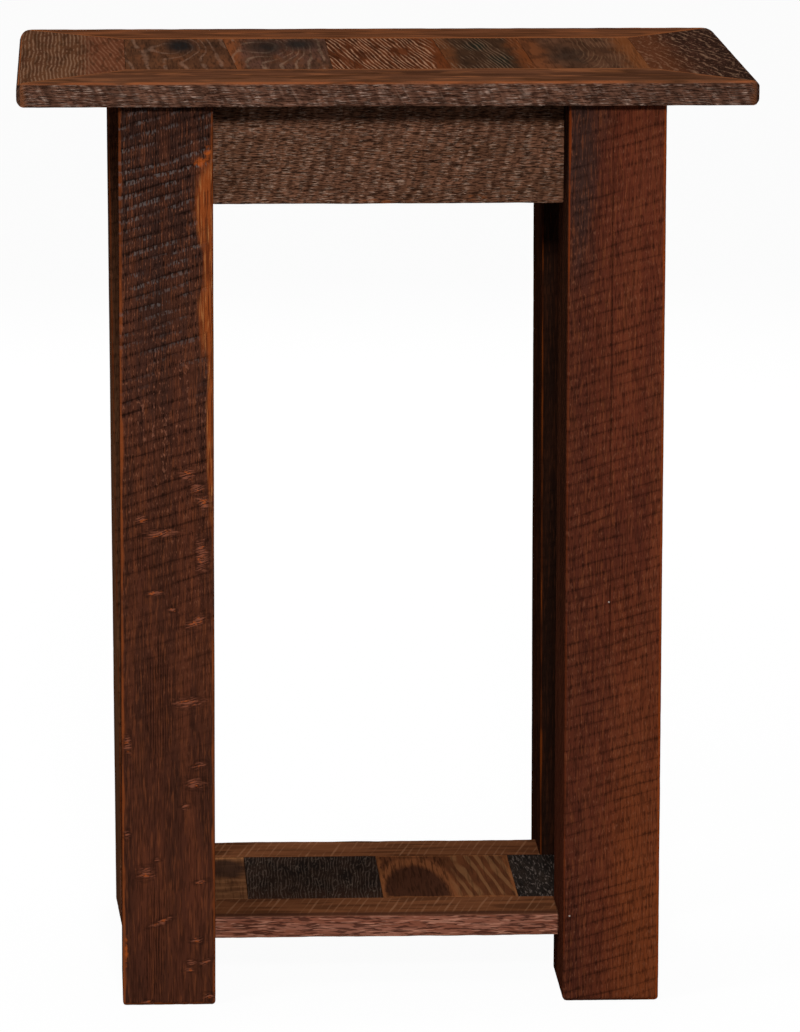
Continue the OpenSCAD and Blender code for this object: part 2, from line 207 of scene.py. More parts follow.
def gridLine(low, high, cell):
    steps = [s for s in (0,) + grid["edgeSteps"] if s < (high - low) * grid["edgeShare"]]
    middle = high - low - 2 * steps[-1]
    count = max(1, round(middle / cell))
    inner = [steps[-1] + middle * i / count for i in range(1, count)]
    return low + np.array(steps + inner + [high - low - s for s in reversed(steps)])


def boxGrid(rows):
    shell = np.ones([len(row) for row in rows], bool)
    shell[1:-1, 1:-1, 1:-1] = False
    ids = np.full(shell.shape, -1)
    ids[shell] = np.arange(shell.sum())
    spots = np.argwhere(shell)
    points = np.stack([rows[axis][spots[:, axis]] for axis in range(3)], 1)
    quads = []
    for axis in range(3):
        for end in (0, -1):
            sheet = np.take(ids, end, axis)
            corners = np.stack([sheet[:-1, :-1], sheet[1:, :-1], sheet[1:, 1:], sheet[:-1, 1:]], -1)
            corners = corners.reshape(-1, 4)
            quads.append(corners[:, ::-1] if (end == 0) != (axis == 1) else corners)
    return points, np.concatenate(quads)


# Distance in mm to the nearest exposed arris and to the nearest arris at a joint. Hidden faces, at joints,
# are named by their axis and side, 1 for the high one
def arrisDistances(points, low, high, hidden):
    gaps = {(axis, side): abs(points[:, axis] - end[axis])
            for axis in range(3) for side, end in enumerate((low, high))}
    arris, joint = (np.full(len(points), grid["far"]) for _ in range(2))
    for a, b in ((0, 1), (0, 2), (1, 2)):
        for first in ((a, 0), (a, 1)):
            for second in ((b, 0), (b, 1)):
                target = joint if first in hidden or second in hidden else arris
                np.minimum(target, np.maximum(gaps[first], gaps[second]), out=target)
    return arris, joint


# Pulls points inside a box whose arrises along each axis have their own radius
def easeInto(points, low, high, radii):
    for axis in (2, 1, 0):
        pair = [k for k in range(3) if k != axis]
        centre = np.clip(points[:, pair], low[pair] + radii[axis], high[pair] - radii[axis])
        away = points[:, pair] - centre
        reach = np.maximum(np.linalg.norm(away, axis=1), 1e-9)
        points[:, pair] = centre + away * np.minimum(1, radii[axis] / reach)[:, None]


# Relief that the saw, the grain and handling leave on a board, in m but for the wear's reach, in mm
sawn = {
    "Kerf Direction": (0, 0, 1),
    "Kerf Spacing": 0.011,
    "Kerf Width": 0.0016,
    "Kerf Depth": 0.0002,
    "Grain Cell": (0.003, 0.003, 0.06),
    "Grain Depth": 0.00015,
    "Wear Reach": 3.0,
    "Wear Depth": 0.0006,
    "Seed": 0.0,
}
# Its noises: scale per m, detail, and the values of the noise that count as none and as full
sawnNoise = {
    "wander": (14.0, 1.0, 0.0, 1.0),      # kerfs stray from straight
    "patches": (32.0, 1.0, 0.38, 0.6),    # kerfs come and go
    "grain": (1.0, 1.0, 0.3, 0.7),        # in cells of the grain
    "bites": (45.0, 2.0, 0.42, 0.72),     # wear along the arrises
}
# How far kerfs stray and where their middles lie, in shares of their spacing
kerfPlay = {"stray": (-0.4, 0.4), "middle": (0.25, 0.75)}


def sawnSurfaceTree():
    tree = bpy.data.node_groups.new("sawnSurface", "GeometryNodeTree")
    add = partial(addNode, tree)
    kinds = {name: "Vector" if isinstance(value, tuple) else "Float" for name, value in sawn.items()}
    ids = {}
    for name, kind in {"Geometry": "Geometry", **kinds, "Material": "Material"}.items():
        item = tree.interface.new_socket(name, in_out="INPUT", socket_type="NodeSocket" + kind)
        if name in sawn:
            item.default_value = sawn[name]
        ids[name] = item.identifier
    tree.interface.new_socket("Geometry", in_out="OUTPUT", socket_type="NodeSocketGeometry")
    given = tree.nodes.new("NodeGroupInput").outputs
    place = add("GeometryNodeInputPosition")
    moved = add("VectorMath", [place, add("CombineXYZ", [given["Seed"]] * 3)], operation="ADD")

    def unevenness(name, vector, low=0.0, high=1.0):
        scale, detail, none, full = sawnNoise[name]
        value = add("TexNoise", {"Vector": vector, "Scale": scale, "Detail": detail})
        return add("MapRange", [value, none, full, low, high])

    # saw kerfs: uneven narrow grooves across the grain
    along = add("VectorMath", [place, given["Kerf Direction"]], "Value", operation="DOT_PRODUCT")
    steps = add("Math", [along, given["Kerf Spacing"]], operation="DIVIDE")
    steps = add("Math", [steps, unevenness("wander", moved, *kerfPlay["stray"])], operation="ADD")
    cell = add("Math", [add("Math", [steps], operation="FLOOR"), given["Seed"]], operation="ADD")
    chance = add("TexWhiteNoise", {"W": cell}, noise_dimensions="1D")
    middle = add("MapRange", [chance, 0.0, 1.0, *kerfPlay["middle"]])
    off = add("Math", [add("Math", [steps], operation="FRACT"), middle], operation="SUBTRACT")
    off = add("Math", [off], operation="ABSOLUTE")
    width = add("Math", [given["Kerf Width"], given["Kerf Spacing"]], operation="DIVIDE")
    groove = add("MapRange", [off, 0.0, width, 1.0, 0.0], **smoothly)
    for factor in (unevenness("patches", moved), chance, given["Kerf Depth"]):
        groove = add("Math", [groove, factor], operation="MULTIPLY")
    # softer early wood stands lower
    grain = unevenness("grain", add("VectorMath", [moved, given["Grain Cell"]], operation="DIVIDE"))
    grain = add("Math", [grain, given["Grain Depth"]], operation="MULTIPLY")
    # arrises worn by handling
    arris = add("GeometryNodeInputNamedAttribute", {"Name": "arris"}, data_type="FLOAT")
    near = add("MapRange", [arris, 0.0, given["Wear Reach"], 1.0, 0.0], **smoothly)
    wear = add("Math", [near, unevenness("bites", moved)], operation="MULTIPLY")
    wear = add("Math", [wear, given["Wear Depth"]], operation="MULTIPLY")
    depth = add("Math", [add("Math", [groove, grain], operation="ADD"), wear], operation="ADD")
    inward = add("Math", [depth, -1.0], operation="MULTIPLY")
    offset = add("VectorMath", {0: add("GeometryNodeInputNormal"), "Scale": inward}, operation="SCALE")
    shaped = add("GeometryNodeSetPosition", {"Geometry": given["Geometry"], "Offset": offset})
    relief = add("Math", [groove, 1 / mm], operation="MULTIPLY")
    shaped = add("GeometryNodeStoreNamedAttribute", {"Geometry": shaped, "Name": "relief", "Value": relief},
                 data_type="FLOAT", domain="POINT")
    solid = add("GeometryNodeRealizeInstances", [shaped])
    painted = add("GeometryNodeSetMaterial", {"Geometry": solid, "Material": given["Material"]})
    add("NodeGroupOutput", [painted])
    return tree, ids


sawnTree, sawnIds = sawnSurfaceTree()


# Runs the two ends of a board out to slanting joints or mitres
def slantEnds(points, low, high, ends):
    axis, across, starts, stops = ends
    t = (points[:, axis] - low[axis]) / (high[axis] - low[axis])
    s = (points[:, across] - low[across]) / (high[across] - low[across])
    first = starts[0] + (starts[1] - starts[0]) * s
    last = stops[0] + (stops[1] - stops[0]) * s
    points[:, axis] = first + (last - first) * t


# Rounds the rear corners of the slab, seen from above, as quarter ellipses
def roundRear(points, low, high, corner):
    reach = np.array(corner)
    away = (points[:, :2] - np.clip(points[:, :2], low[:2] + reach, high[:2] - reach)) / reach
    away[:, 1] = np.maximum(away[:, 1], 0)
    over = np.maximum(np.linalg.norm(away, axis=1), 1)[:, None]
    points[:, :2] -= (away - away / over) * reach


# Moves one side of a leg outwards along its height
def leanSide(points, low, high, lean):
    side, atTop, footRear, footFront = lean
    up = (points[:, 2] - low[2]) / (high[2] - low[2])
    ahead = (high[1] - points[:, 1]) / (high[1] - low[1])
    atFoot = footRear + (footFront - footRear) * ahead
    share = abs(points[:, 0] - (high, low)[side][0]) / (high[0] - low[0])
    points[:, 0] += share * (atFoot + (atTop - atFoot) * up)


# One board in place of its node, in its own wood
def makeBoard(node, values, finish, wood):
    low, high = (np.array(c, float) for c in values["box"])
    points, quads = boxGrid([gridLine(low[k], high[k], values["cell"][k]) for k in range(3)])
    arris, joint = arrisDistances(points, low, high, values["hidden"])
    side = np.minimum(high[2] - points[:, 2], grid["sideFade"]) / grid["sideFade"]
    if "ends" in values:
        easeInto(points, low, high, (grid["ease"],) * 3)
        slantEnds(points, low, high, values["ends"])
    if "within" in values:
        easeInto(points, *values["within"])
        if "rearCorner" in values:
            roundRear(points, *values["within"][:2], values["rearCorner"])
        for lean in values.get("leans", ()):
            leanSide(points, low, high, lean)
    elif "ends" not in values:
        easeInto(points, low, high, values["radii"])
    mesh = bpy.data.meshes.new(node)
    mesh.vertices.add(len(points))
    mesh.vertices.foreach_set("co", (points * mm).ravel())
    mesh.loops.add(quads.size)
    mesh.loops.foreach_set("vertex_index", quads.ravel())
    mesh.polygons.add(len(quads))
    mesh.polygons.foreach_set("loop_start", np.arange(0, quads.size, 4))
    mesh.update(calc_edges=True)
    mesh.validate()
    for name, data in (("arris", arris), ("joint", joint), ("side", side)):
        mesh.attributes.new(name, "FLOAT", "POINT").data.foreach_set("value", data.astype(np.float32))
    piece = bpy.data.objects.new(node + "_board", mesh)
    scene.collection.objects.link(piece)
    modifier = piece.modifiers.new("sawn surface", "NODES")
    modifier.node_group = sawnTree
    modifier[sawnIds["Material"]] = woodMaterial(finish + "_" + node, wood)
    for name, value in {**sawn, **values["relief"], "Seed": float(wood["seed"])}.items():
        modifier[sawnIds[name]] = value
    graph = bpy.context.evaluated_depsgraph_get()
    final = bpy.data.meshes.new_from_object(piece.evaluated_get(graph), preserve_all_data_layers=True,
                                            depsgraph=graph)
    piece.modifiers.clear()
    piece.data = final
    # the relief stays under the board's own top
    spots = np.empty((len(final.vertices), 3), np.float32)
    final.vertices.foreach_get("co", spots.ravel())
    spots[:, 2] = np.minimum(spots[:, 2], high[2] * mm)
    final.vertices.foreach_set("co", spots.ravel())
    final.shade_smooth()
    final.set_sharp_from_angle(angle=math.radians(grid["sharpAngle"]))
    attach(piece, "root")
    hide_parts(node)


# How the patterns on the wood are laid out. Noise runs in slices of a solid, one for each seed
pattern = {
    "seedStep": 37.7,           # mm between the slices of two seeds
    "slice": 20,                # mm, size of the noise across the slices
    "roughness": 0.6,
    "topFold": 0.7,             # how far a pattern on top slides on, for each mm down a board's side
    "ground": (0.36, 0.64),     # values of the noise that count as none and as full
    "gloss": (0.35, 0.65),
    "reach": (0.3, 0.7),
    "bend": (0.2, 0.8),
    "worn": (1.0, 0.35),        # shares of the reach between which wear at an arris comes in
    "sideEdge": (0.25, 0.75),   # likewise for a coat on a board's side only
    "glossSize": (12, 12),      # mm
}
# Size of a coat's pattern in mm where the coat names none
usualSize = {"lines": (30, 8), "arris": (14, 14), "joint": (14, 14), "all": (6, 6),
             "x": (20, 60), "y": (20, 60), "z": (20, 60)}


# Surface places in mm: "solid" is the plain place, "face" runs on round the arrises of a board
def facePlaces(tree, layout, origin):
    add = partial(addNode, tree)
    solid = add("VectorMath", {0: add("TexCoord", out="Object"), "Scale": 1 / mm}, operation="SCALE")
    x, y, z = add("SeparateXYZ", [solid], slice(None))
    runs = {"upright": (x, z, y), "rail": (x, z, y), "crossRail": (y, z, x), "flat": (x, y, z)}
    first, second, folded = runs[layout]
    fold = add("Math", [folded, origin], operation="SUBTRACT")
    if layout in ("upright", "flat"):
        share = 1.0 if layout == "upright" else pattern["topFold"]
        first = add("Math", [fold, share, first], operation="MULTIPLY_ADD")
    if layout != "upright":
        second = add("Math", [fold, second], operation="ADD")
    face = add("CombineXYZ", [first, second, 0.0])
    return {"solid": solid, "face": face, "x": x, "y": y, "z": z, "near": {}}


def stretched(tree, vector, size, turn=0, seed=0, detail=1.5, twist=0.0):
    mapped = addNode(tree, "Mapping", [
        vector, (0, 0, seed * pattern["seedStep"]), (0, 0, math.radians(turn)), (*size, pattern["slice"])],
        vector_type="TEXTURE")
    return addNode(tree, "TexNoise", {"Vector": mapped, "Scale": 1.0, "Detail": detail,
                                      "Roughness": pattern["roughness"], "Distortion": twist})


# One coat of a finish: where it shows, its pattern's size in mm and seed, its colour and strength, and the
# values between which it comes in. Those are mm for a coat that comes in along x, y or z, and the least and
# the most reach in mm for one along arrises or joints. A stain, which is all over, can have spots, and its
# size is that of their ragged edges. Without a colour a coat is a mask for others, or relief
def layer(look, size=None, seed=0, colour=None, strength=1.0, sharp=(0.4, 0.6), **more):
    return dict(more, look=look, size=size or usualSize.get(look), seed=seed, sharp=sharp, colour=colour,
                strength=strength)


streaks, lines, stain = (partial(layer, look) for look in ("streaks", "lines", "all"))


# Growth lines: waves across the face, bent by noise and lifted round knots
def growthLines(tree, places, coat):
    add = partial(addNode, tree)
    face, bend, spacing, turn = places["face"], coat.get("bend", 1.0), coat["spacing"], coat.get("turn", 0)
    mapped = add("Mapping", [face, None, (0, 0, math.radians(turn)), (spacing,) * 3], vector_type="TEXTURE")
    across = add("SeparateXYZ", [mapped], 1)
    wander = stretched(tree, face, coat["size"], turn, coat["seed"] + 3)
    shift = coat.get("shift", 0.0)
    wander = add("MapRange", [wander, *pattern["bend"], shift - bend / spacing, shift + bend / spacing],
                 clamp=False)
    phase = add("Math", [across, wander], operation="ADD")
    for place, size, turns in coat.get("knots", ()):
        away = add("Mapping", [face, (*place, 0), None, (*size, pattern["slice"])], vector_type="TEXTURE")
        away = add("VectorMath", [away], "Value", operation="LENGTH")
        lift = add("MapRange", [away, 0.0, 1.0, turns, 0.0], interpolation_type="SMOOTHERSTEP")
        phase = add("Math", [phase, lift], operation="ADD")
    phase = add("Math", [phase, 2 * math.pi], operation="MULTIPLY")
    wave = add("Math", [add("Math", [phase], operation="COSINE"), 0.5, 0.5], operation="MULTIPLY_ADD")
    uneven = stretched(tree, face, coat.get("varySize", (12, 4)), turn, coat["seed"] + 7)
    uneven = add("Math", [uneven, 0.5], operation="SUBTRACT")
    return add("Math", [uneven, coat.get("vary", 0.5), wave], operation="MULTIPLY_ADD")


# Distance to the nearest of a coat's spots, worked out once for each list of spots and material
def nearestSpot(tree, places, spots):
    add = partial(addNode, tree)
    nearest = places["near"].get(id(spots))
    if nearest is None:
        for centre, size, *lean in spots:
            turned = (0, math.radians(-lean[0]) if lean else 0, 0)
            away = add("Mapping", [places["solid"], centre, turned, size], vector_type="TEXTURE")
            away = add("VectorMath", [away], "Value", operation="LENGTH")
            nearest = away if nearest is None else add("Math", [nearest, away], operation="MINIMUM")
        places["near"][id(spots)] = nearest
    return nearest


# How much of one coat shows, from 0 to 1
def coatMask(tree, places, coat):
    add = partial(addNode, tree)
    look, size, seed, turn = coat["look"], coat["size"], coat["seed"], coat.get("turn", 0)
    face = places["face"]
    low, high = coat["sharp"]
    if look == "streaks":
        mask = stretched(tree, face, size, turn, seed, coat.get("detail", 1.5), coat.get("twist", 0.0))
    elif look == "lines":
        mask = growthLines(tree, places, coat)
    elif look in ("x", "y", "z"):
        uneven = add("Math", [stretched(tree, face, size, turn, seed, 2), 0.5], operation="SUBTRACT")
        waver = coat.get("waver", 0.0) * 2
        mask = add("Math", [uneven, waver, places[look]], operation="MULTIPLY_ADD")
    elif look in ("arris", "joint"):
        mask = add("Attribute", out="Fac", attribute_name=look)
        uneven = stretched(tree, face, size, 0, seed, 2)
        reach = add("MapRange", [uneven, *pattern["reach"], low, high])
        mask = add("Math", [mask, reach], operation="DIVIDE")
        low, high = pattern["worn"]
    elif look == "relief":
        mask = add("Attribute", out="Fac", attribute_name="relief")
    else:
        mask = 1.0
        low, high = 0.0, 1.0
    mask = add("MapRange", [mask, low, high], **smoothly)
    if "spots" in coat:
        ragged = coat.get("ragged", 0.25)
        edge = size if look == "all" else coat.get("raggedSize", usualSize["all"])
        uneven = stretched(tree, face, edge, 0, seed + 5, 2)
        nearest = nearestSpot(tree, places, coat["spots"])
        nearest = add("Math", [uneven, 4 * ragged, nearest], operation="MULTIPLY_ADD")
        outer, core = coat.get("outer", 1.0) + 2 * ragged, coat.get("core", 0.55) + 2 * ragged
        inside = add("MapRange", [nearest, outer, core], **smoothly)
        mask = add("Math", [mask, inside], operation="MULTIPLY")
    if "on" in coat:
        side = add("Attribute", out="Fac", attribute_name="side")
        ends = (0.0, 1.0) if coat["on"] == "side" else (1.0, 0.0)
        side = add("MapRange", [side, *pattern["sideEdge"], *ends])
        mask = add("Math", [mask, side], operation="MULTIPLY")
    for other in coat.get("times", ()):
        mask = add("Math", [mask, coatMask(tree, places, other)], operation="MULTIPLY")
    return mask


# Wood finish built of coats over a ground of two tones
def woodMaterial(name, wood):
    material, tree = emptyMaterial(name)
    add = partial(addNode, tree)
    places = facePlaces(tree, wood["layout"], wood.get("origin", 0.0))
    ground = stretched(tree, places["face"], wood["groundSize"], 0, wood.get("seed", 0), 3)
    ground = add("MapRange", [ground, *pattern["ground"]])
    colour = add("Mix", {0: ground, 6: toLinear(wood["ground"][0]), 7: toLinear(wood["ground"][1])}, 2,
                 data_type="RGBA")
    height = 0.0
    for coat in wood["coats"]:
        mask = coatMask(tree, places, coat)
        if coat["colour"]:
            share = add("Math", [mask, coat["strength"]], operation="MULTIPLY")
            colour = add("Mix", {0: share, 6: colour, 7: toLinear(coat["colour"])}, 2, data_type="RGBA")
        if "height" in coat:
            height = add("Math", [mask, coat["height"], height], operation="MULTIPLY_ADD")
    dull = stretched(tree, places["face"], pattern["glossSize"], 0, 2, 2)
    shade = {"Base Color": colour, "IOR": 1.5, "Specular IOR Level": 0.0}
    shade["Roughness"] = add("MapRange", [dull, *pattern["gloss"], *wood["roughness"]])
    if height:
        shade["Normal"] = add("Bump", {"Strength": 1.0, "Distance": mm, "Height": height})
    add("OutputMaterial", [add("BsdfPrincipled", shade)])
    return material


# Legs

legShape = {"arris": 2.5, "foot": 4.0, "front": -178}      # mm: two radii, y of the front legs' faces


# Spot in mm on the front of a front leg: its middle, its width and height, how deep it reaches, its lean
def legSpot(x, z, width, height, depth=8, lean=0):
    return (x, legShape["front"], z), (width, depth, height), lean


# Rough-sawn reclaimed softwood, stained dark red-brown and waxed: fine upright grain crossed by slanting
# saw kerfs that break it into dots, with painted highlights on the rubbed ridges between the kerfs, painted
# shade deepening with the saw grooves, and arrises rubbed through to the orange wood
def sawnSoftwood(seed, kerfSpacing, kerfDark, arrisReach, arris, where=()):
    kerfs = lines((60, 24), seed + 5, spacing=kerfSpacing, bend=2.0, turn=16, vary=0.4, varySize=(30, 12))
    patches = [streaks((36, 50), seed + 6, sharp=(0.2, 0.45)), *where]
    return [
        streaks((9, 130), seed + 2, "#693721", 0.2, (0.45, 0.65)),
        streaks((1.1, 16), seed + 3, "#190d09", 0.42, (0.47, 0.63), height=-0.1),
        streaks((1.2, 18), seed + 4, "#7a4226", 0.3, (0.53, 0.68), height=0.05),
        dict(kerfs, colour="#140a07", strength=kerfDark, sharp=(0.9, 1.1), height=-0.2, times=patches),
        streaks((1.1, 6.5), seed + 1, "#120906", kerfDark, (0.53, 0.61), height=-0.2,
            times=[dict(kerfs, sharp=(0.2, 0.9)), *patches]),
        # pale raised flecks between the kerfs: rubbed ridges, painted lighter as highlights too
        streaks((1.0, 5.0), seed + 9, "#8a563e", kerfDark * 0.55, (0.56, 0.68), height=0.1,
            times=[dict(kerfs, sharp=(0.8, 0.3)), *patches]),
        # darker where the saw grooves are deepest: painted shade in the grooves
        layer("relief", None, 0, "#1a0f0b", 0.25, (0.02, 0.16)),
        layer("arris", (8, 40), seed + 7, arris, 0.8, arrisReach,
            times=[streaks((30, 45), seed + 8, sharp=(0.25, 0.5))])]


frontLeftSapwood = stain((4, 30), 14, ragged=0.15, core=0.6, spots=[legSpot(-140, 660, 18, 48, 40),
        legSpot(-140, 570, 14, 44, 40), legSpot(-140, 612, 10, 70, 40), legSpot(-140, 480, 7, 110, 30)])
frontLeftChips = [legSpot(*chip) for chip in (
    (-162, 442, 6.5, 5), (-154, 430, 6, 5), (-148.5, 419, 6, 5.5), (-199, 405, 4.5, 3.5),
    (-183, 394, 14, 3.6, 8, 8), (-150, 376, 5.5, 14), (-188, 345, 7, 2, 8, 8), (-174, 331, 3, 2),
    (-154.5, 321, 10, 3.4, 8, 28), (-211, 220, 3, 7), (-152.5, 202, 6, 3, 8, 12), (-156, 186, 8, 5),
    (-164, 167, 3, 3), (-212, 144, 2.5, 4), (-197, 112, 7, 5, 8, 15), (-187.6, 123, 2.5, 2),
    (-151.7, 104, 5.5, 2, 8, 12), (-184, 70.7, 9.5, 2.2, 8, 22), (-155, 55, 5, 2.5), (-160, 36, 3.5, 3),
    (-148, 36.7, 6, 1.8, 8, 25), (-162, 30, 4, 1.5), (-195.5, 3, 4, 2), (-146, 8, 4, 3),
    (-161.5, 254, 12, 4, 8, 5))]
frontLeftCracks = [legSpot(-200, 380, 6, 22), legSpot(-186, 250, 14, 60), legSpot(-190, 50, 10, 60)]
legs = {
    "front_left_leg": dict(cell=(1.9, 1.9, 2.4), ground=("#48261a", "#381f16"), seed=11, coats=[
        layer("z", (30, 60), 13, "#30201b", 0.75, (380, 620), waver=60),
        *sawnSoftwood(200, 9, 0.8, (1.4, 4.6), "#7d3e1d",
            [layer("z", (30, 60), 27, sharp=(60, 600), waver=60)]),
        lines((30, 6), 25, "#100907", 0.4, (0.4, 0.95), spacing=2.0, bend=0.8, turn=90, vary=0.5,
            height=-0.15, times=[layer("z", (30, 60), 26, sharp=(480, 660), waver=60)]),
        # pale grey flecks along the kerfs near the top: painted highlights, with a little raised relief
        lines((60, 24), 205, "#605855", 0.52, (0.55, 0.95), spacing=9, bend=2.0, turn=16, vary=0.4,
            shift=0.2, varySize=(30, 12), height=0.15, times=[
                streaks((1.5, 5), 16, sharp=(0.46, 0.6)),
                streaks((26, 20), 17, sharp=(0.42, 0.58), turn=16),
                layer("z", (30, 60), 18, sharp=(480, 620), waver=60)]),
        streaks((2.0, 4), 19, "#855440", 0.45, (0.56, 0.66), height=0.1,
            spots=[legSpot(-183, 490, 60, 90, 9)], times=[streaks((5, 60), 12, sharp=(0.56, 0.64))]),
        dict(frontLeftSapwood, colour="#7c3c1a", strength=0.95),
        streaks((1.3, 24), 20, "#a06c3f", 0.55, (0.54, 0.64), times=[frontLeftSapwood]),
        streaks((1.4, 30), 21, "#4a2010", 0.8, (0.5, 0.6), times=[frontLeftSapwood]),
        lines((30, 6), 22, "#120a07", 0.5, (0.5, 0.9), spacing=2.0, bend=0.8, turn=90, height=-0.2,
            spots=frontLeftCracks, ragged=0.3),
        # dark rims round the chips: painted shadow, over a slight dip
        stain((7, 3), 29, "#20110c", 0.45, ragged=0.6, core=0.9, outer=1.9, height=-0.2,
            spots=frontLeftChips),
        lines((12, 5), 23, "#7c4835", 0.8, (0.0, 0.7), spacing=2.2, bend=2.0, turn=12, vary=0.9,
            height=0.2, spots=frontLeftChips, ragged=0.6, outer=1.3, raggedSize=(6, 2.2), core=0.1),
        streaks((4, 2), 30, "#94471f", 0.8, (0.56, 0.66), spots=frontLeftChips, ragged=0.4, core=0.3),
        stain((3, 3), 24, "#98491c", 0.8, ragged=0.5, core=0.0, spots=[legSpot(-150, 696, 7, 5, 6),
                legSpot(-144, 703, 4, 7, 6), legSpot(-213, 47, 1.5, 16, 4)])]),
    "front_right_leg": dict(cell=(1.9, 1.9, 2.4), ground=("#58291a", "#4b2318"), seed=21, coats=[
        layer("z", (30, 60), 33, "#753a1a", 0.5, (420, 60), waver=90,
            times=[layer("x", (20, 90), sharp=(165, 205), waver=14)]),
        layer("x", (20, 90), 37, "#331b14", 0.4, (196, 150), waver=14),
        stain((16, 60), 34, "#29211e", 0.7, ragged=0.3, core=0.2, spots=[legSpot(153, 710, 26, 150, 80)]),
        # the inner face darker, most towards the top: painted shade between the legs and under the top
        layer("y", None, 0, "#241710", 0.85, (-174, -164), times=[
            layer("x", sharp=(150, 146)),
            layer("z", sharp=(60, 560), waver=60)]),
        *sawnSoftwood(220, 8.5, 0.43, (1.0, 2.0), "#58250f"),
        stain((4, 14), 35, "#0d0705", 0.45, ragged=0.3, height=-0.3,
            spots=[legSpot(181, 560, 0.9, 190), legSpot(181.5, 330, 0.7, 60)]),
        layer("arris", (8, 40), 38, "#8f3f16", 0.8, (2.2, 3.4), times=[layer("x", sharp=(212, 218))]),
        stain((3, 20), 36, "#6c2d0e", 0.75, ragged=0.15,
            spots=[legSpot(146, 715, 1.5, 40, 4), legSpot(145.8, 640, 1.0, 60, 3)]),
        stain(colour="#a08f84", ragged=0.1,
            spots=[legSpot(180.5, 334.8, 0.9, 0.9, 4), legSpot(150.3, 72.4, 0.9, 0.9, 4)])]),
    "rear_left_leg": dict(cell=(2.6, 2.6, 3.2), ground=("#714a31", "#5e3c2a"), seed=31,
        # darker towards the top: painted shade under the top
        coats=[layer("z", (20, 90), 39, "#3a2117", 0.8, (430, 650), waver=40),
            *sawnSoftwood(240, 9, 0.4, (1.0, 2.4), "#6b3013")], leans=((0, 0, 4.4, 9.0),)),
    "rear_right_leg": dict(cell=(2.6, 2.6, 3.2), ground=("#3e2116", "#331b12"), seed=41, coats=[
        # darker towards the inner side: painted shade between the legs
        layer("x", (20, 90), 42, "#2b1911", 0.9, (205, 160), waver=8),
        *sawnSoftwood(260, 9, 0.15, (1.0, 2.2), "#52240f"),
        # the front face darker towards its inner arris: painted shadow of the front right leg
        layer("y", None, 0, "#140b08", 0.7, (77, 73.5),
            times=[layer("x", (20, 90), 42, sharp=(205, 160), waver=8)]),
        layer("arris", (8, 60), 43, "#74350f", 0.7, (1.0, 2.6),
            times=[streaks((30, 60), 44, sharp=(0.38, 0.6))])], leans=((0, -3.3, -1.2, -1.2),)),
}
for node, values in legs.items():
    low, high = boxOf(node)
    wood = dict(values, layout="upright", origin=low[1], groundSize=(22, 170), roughness=(0.42, 0.6))
    foot = legShape["foot"]
    relief = {"Kerf Direction": (-0.22, -0.22, 0.95), "Kerf Spacing": 0.0115, "Kerf Depth": 0.00012,
        "Grain Cell": (0.003, 0.003, 0.09)}
    board = dict(box=(low, high), cell=values["cell"], hidden=((2, 1),), leans=values.get("leans", ()),
        within=(low, high + (0, 0, foot), (foot, foot, legShape["arris"])), relief=relief)
    makeBoard(node, board, "sawnSoftwood", wood)
print("legs made")

# Aprons


# Rough-sawn reclaimed oak, stained grey-brown: short wavy lengthwise streaks, dark in the pores, and
# pale on their crests as painted highlights, in groups left by the saw
def sawnOak(seed, dark, pale, longer=1.0, **more):
    bunch = lines((20, 16), seed + 1, sharp=(-0.1, 0.9), spacing=12, bend=8, turn=74, vary=1.2,
        varySize=(14, 9))
    coats = [
        streaks((50, 22), seed + 2, dark, 0.22, (0.44, 0.6)),
        streaks((7 * longer, 0.75), seed + 3, dark, 0.9, (0.51, 0.57), twist=0.5, detail=3.0, height=-0.3),
        # pale crests in groups: painted highlights, a little raised
        streaks((8 * longer, 0.65), seed + 4, pale, 0.95, (0.54, 0.6), twist=0.5, detail=3.0, height=0.12,
            times=[bunch]),
        streaks((26, 1.8), seed + 5, "#160c08", 0.6, (0.63, 0.7), twist=0.4, height=-0.3),
        lines((14, 14), seed + 6, dark, 0.3, (0.5, 1.0), spacing=8, bend=5, turn=74, vary=0.8,
            height=-0.08)]
    return [dict(coat, **more) for coat in coats]


apronFace = -129.5                      # mm, y of the front apron's face
apronTones = ("#28170f", "#a0826f")     # dark pores, and painted highlights on the crests
aprons = {
    "front_apron": dict(layout="rail", axis=0, cell=(1.6, 2.0, 1.6), seed=51, coats=[
        *sawnOak(300, *apronTones),
        streaks((12, 3), 56, "#8a4c28", 0.6, (0.5, 0.62), spots=[((4, apronFace, 657), (28, 8, 5)),
                ((-82, apronFace, 700), (4, 8, 2.5)), ((70, apronFace, 660), (14, 8, 3))], ragged=0.3),
        stain((3, 2), 57, "#24140d", 0.75, ragged=0.25, spots=[((56, apronFace, 687), (5, 8, 2.2))])]),
    "rear_apron": dict(layout="rail", axis=0, cell=(2.4, 2.4, 2.4), seed=52,
        coats=sawnOak(310, *apronTones)),
    "left_apron": dict(layout="crossRail", axis=1, cell=(2.4, 2.4, 2.4), seed=53,
        coats=sawnOak(320, *apronTones)),
    "right_apron": dict(layout="crossRail", axis=1, cell=(2.4, 2.4, 2.4), seed=54,
        coats=sawnOak(330, *apronTones)),
}
frontLegRear = boxOf("front_left_leg")[1][1]
rearLegFront = boxOf("rear_left_leg")[0][1]
